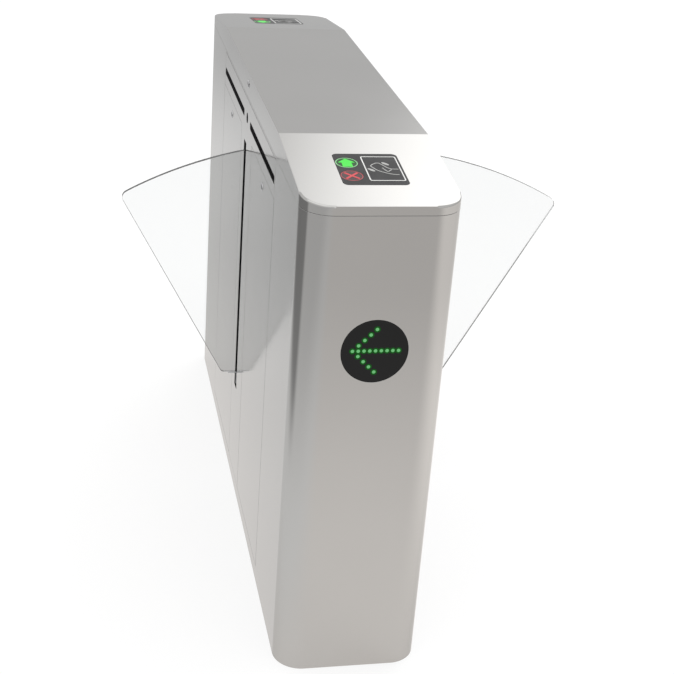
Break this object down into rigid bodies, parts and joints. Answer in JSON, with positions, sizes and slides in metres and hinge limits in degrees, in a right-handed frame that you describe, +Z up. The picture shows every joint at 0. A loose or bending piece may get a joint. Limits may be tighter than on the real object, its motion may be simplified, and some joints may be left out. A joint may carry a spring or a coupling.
{
  "type": "sliding barrier turnstile",
  "caption": "Slim stainless turnstile cabinet with a clear sliding wing in each side, sloped lid ends with card readers, and lit arrow windows.",
  "frame": {"origin": "centre of the base plate's underside, on the floor", "axes": "+Z up, +Y along the cabinet towards its far end, +X across the passage out of the right side"},
  "size_m": [0.9521, 1.4, 0.98],
  "materials": {
    "stainless_sheet": "satin brushed stainless sheet",
    "zinc_steel": "zinc plated steel",
    "bare_aluminium": "extruded aluminium",
    "machined_steel": "machined steel",
    "lock_chrome": "chrome plated lock",
    "dark_window": "dark infrared acrylic",
    "reader_glass": "back-printed grey acrylic",
    "black_housing": "moulded black plastic",
    "black_rubber": "black rubber",
    "clear_acrylic": "clear cast acrylic sheet",
    "pass_green": "lit green lens",
    "stop_red": "lit red lens"
  },
  "bodies": {
    "cabinet": {"cabinet_shell": "stainless_sheet", "base_plate": "zinc_steel", "control_box": "black_housing", "power_supply": "bare_aluminium", "drive_frame": "zinc_steel", "left_fascia": "stainless_sheet", "right_fascia": "stainless_sheet", "left_front_slit_window": "dark_window", "left_rear_slit_window": "dark_window", "right_front_slit_window": "dark_window", "right_rear_slit_window": "dark_window", "left_eye_window": "dark_window", "right_eye_window": "dark_window", "left_slot_trim": "black_rubber", "right_slot_trim": "black_rubber", "front_indicator_window": "dark_window", "rear_indicator_window": "dark_window", "front_indicator_housing": "black_housing", "rear_indicator_housing": "black_housing", "left_gear_motor": "machined_steel", "right_gear_motor": "machined_steel", "lid_hinge_fixed_leaf": "stainless_sheet"},
    "lid": {"lid": "stainless_sheet", "lid_hinge_moving_leaf": "stainless_sheet", "front_reader_panel": "reader_glass", "rear_reader_panel": "reader_glass", "front_reader_module": "black_housing", "rear_reader_module": "black_housing", "front_pass_lens": "pass_green", "rear_pass_lens": "pass_green", "front_stop_lens": "stop_red", "rear_stop_lens": "stop_red"},
    "lid_lock": {"lid_lock": "lock_chrome"},
    "left_front_door": {"left_front_door": "stainless_sheet"},
    "left_rear_door": {"left_rear_door": "stainless_sheet"},
    "right_front_door": {"right_front_door": "stainless_sheet"},
    "right_rear_door": {"right_rear_door": "stainless_sheet"},
    "left_front_door_lock": {"left_front_door_lock": "lock_chrome"},
    "left_rear_door_lock": {"left_rear_door_lock": "lock_chrome"},
    "right_front_door_lock": {"right_front_door_lock": "lock_chrome"},
    "right_rear_door_lock": {"right_rear_door_lock": "lock_chrome"},
    "left_beam_stage": {"left_beam": "bare_aluminium", "left_inner_leaf": "clear_acrylic", "left_belt": "black_rubber", "left_belt_motor": "black_housing"},
    "left_leaf_stage": {"left_outer_leaf": "clear_acrylic", "left_leaf_carrier": "bare_aluminium"},
    "left_pinion": {"left_pinion": "machined_steel"},
    "left_drive_pulley": {"left_drive_pulley": "machined_steel"},
    "left_idle_pulley": {"left_idle_pulley": "machined_steel"},
    "right_beam_stage": {"right_beam": "bare_aluminium", "right_inner_leaf": "clear_acrylic", "right_belt": "black_rubber", "right_belt_motor": "black_housing"},
    "right_leaf_stage": {"right_outer_leaf": "clear_acrylic", "right_leaf_carrier": "bare_aluminium"},
    "right_pinion": {"right_pinion": "machined_steel"},
    "right_drive_pulley": {"right_drive_pulley": "machined_steel"},
    "right_idle_pulley": {"right_idle_pulley": "machined_steel"}
  },
  "joints": [
    {"name": "left_beam_slide", "type": "slide", "parent": "cabinet", "child": "left_beam_stage", "axis": [-1, 0, 0], "range_m": [0, 0.1555]},
    {"name": "left_leaf_slide", "type": "slide", "parent": "left_beam_stage", "child": "left_leaf_stage", "axis": [-1, 0, 0], "range_m": [-0.248, 0]},
    {"name": "left_pinion_spin", "type": "hinge", "parent": "cabinet", "child": "left_pinion", "pos_m": [-0.06, 0.016, 0.2345], "axis": [0, -1, 0], "range_deg": [-1, 600]},
    {"name": "left_drive_pulley_spin", "type": "hinge", "parent": "left_beam_stage", "child": "left_drive_pulley", "pos_m": [0.122, 0.0215, 0.2625], "axis": [0, -1, 0], "range_deg": [-2100, 1]},
    {"name": "left_idle_pulley_spin", "type": "hinge", "parent": "left_beam_stage", "child": "left_idle_pulley", "pos_m": [-0.124, 0.0215, 0.2625], "axis": [0, -1, 0], "range_deg": [-2100, 1]},
    {"name": "right_beam_slide", "type": "slide", "parent": "cabinet", "child": "right_beam_stage", "axis": [1, 0, 0], "range_m": [-0.1555, 0]},
    {"name": "right_leaf_slide", "type": "slide", "parent": "right_beam_stage", "child": "right_leaf_stage", "axis": [1, 0, 0], "range_m": [-0.248, 0]},
    {"name": "right_pinion_spin", "type": "hinge", "parent": "cabinet", "child": "right_pinion", "pos_m": [0.06, -0.016, 0.2345], "axis": [0, 1, 0], "range_deg": [-600, 1]},
    {"name": "right_drive_pulley_spin", "type": "hinge", "parent": "right_beam_stage", "child": "right_drive_pulley", "pos_m": [0.03351, -0.0215, 0.2625], "axis": [0, 1, 0], "range_deg": [-2100, 1]},
    {"name": "right_idle_pulley_spin", "type": "hinge", "parent": "right_beam_stage", "child": "right_idle_pulley", "pos_m": [0.27951, -0.0215, 0.2625], "axis": [0, 1, 0], "range_deg": [-2100, 1]},
    {"name": "left_front_door_tilt", "type": "hinge", "parent": "cabinet", "child": "left_front_door", "pos_m": [-0.14, -0.238, 0.031], "axis": [0, -1, 0], "range_deg": [0, 45]},
    {"name": "left_rear_door_tilt", "type": "hinge", "parent": "cabinet", "child": "left_rear_door", "pos_m": [-0.14, 0.238, 0.031], "axis": [0, -1, 0], "range_deg": [0, 45]},
    {"name": "right_front_door_tilt", "type": "hinge", "parent": "cabinet", "child": "right_front_door", "pos_m": [0.14, -0.238, 0.031], "axis": [0, 1, 0], "range_deg": [0, 45]},
    {"name": "right_rear_door_tilt", "type": "hinge", "parent": "cabinet", "child": "right_rear_door", "pos_m": [0.14, 0.238, 0.031], "axis": [0, 1, 0], "range_deg": [0, 45]},
    {"name": "left_front_door_lock_turn", "type": "hinge", "parent": "left_front_door", "child": "left_front_door_lock", "pos_m": [-0.14, -0.245, 0.82], "axis": [-1, 0, 0], "range_deg": [0, 90]},
    {"name": "left_rear_door_lock_turn", "type": "hinge", "parent": "left_rear_door", "child": "left_rear_door_lock", "pos_m": [-0.14, 0.245, 0.82], "axis": [-1, 0, 0], "range_deg": [0, 90]},
    {"name": "right_front_door_lock_turn", "type": "hinge", "parent": "right_front_door", "child": "right_front_door_lock", "pos_m": [0.14, -0.245, 0.82], "axis": [1, 0, 0], "range_deg": [0, 90]},
    {"name": "right_rear_door_lock_turn", "type": "hinge", "parent": "right_rear_door", "child": "right_rear_door_lock", "pos_m": [0.14, 0.245, 0.82], "axis": [1, 0, 0], "range_deg": [0, 90]},
    {"name": "lid_hinge", "type": "hinge", "parent": "cabinet", "child": "lid", "pos_m": [0.1445, 0, 0.93], "axis": [0, 1, 0], "range_deg": [0, 85]},
    {"name": "lid_lock_turn", "type": "hinge", "parent": "lid", "child": "lid_lock", "pos_m": [-0.14, 0, 0.958], "axis": [-1, 0, 0], "range_deg": [0, 90]}
  ],
  "couplings": [
    {"joint": "left_pinion_spin", "follows": "left_beam_slide", "rad_per_m": 66.667},
    {"joint": "left_drive_pulley_spin", "follows": "left_leaf_slide", "rad_per_m": 147.06},
    {"joint": "left_idle_pulley_spin", "follows": "left_leaf_slide", "rad_per_m": 147.06},
    {"joint": "right_pinion_spin", "follows": "right_beam_slide", "rad_per_m": 66.667},
    {"joint": "right_drive_pulley_spin", "follows": "right_leaf_slide", "rad_per_m": 147.06},
    {"joint": "right_idle_pulley_spin", "follows": "right_leaf_slide", "rad_per_m": 147.06}
  ]
}
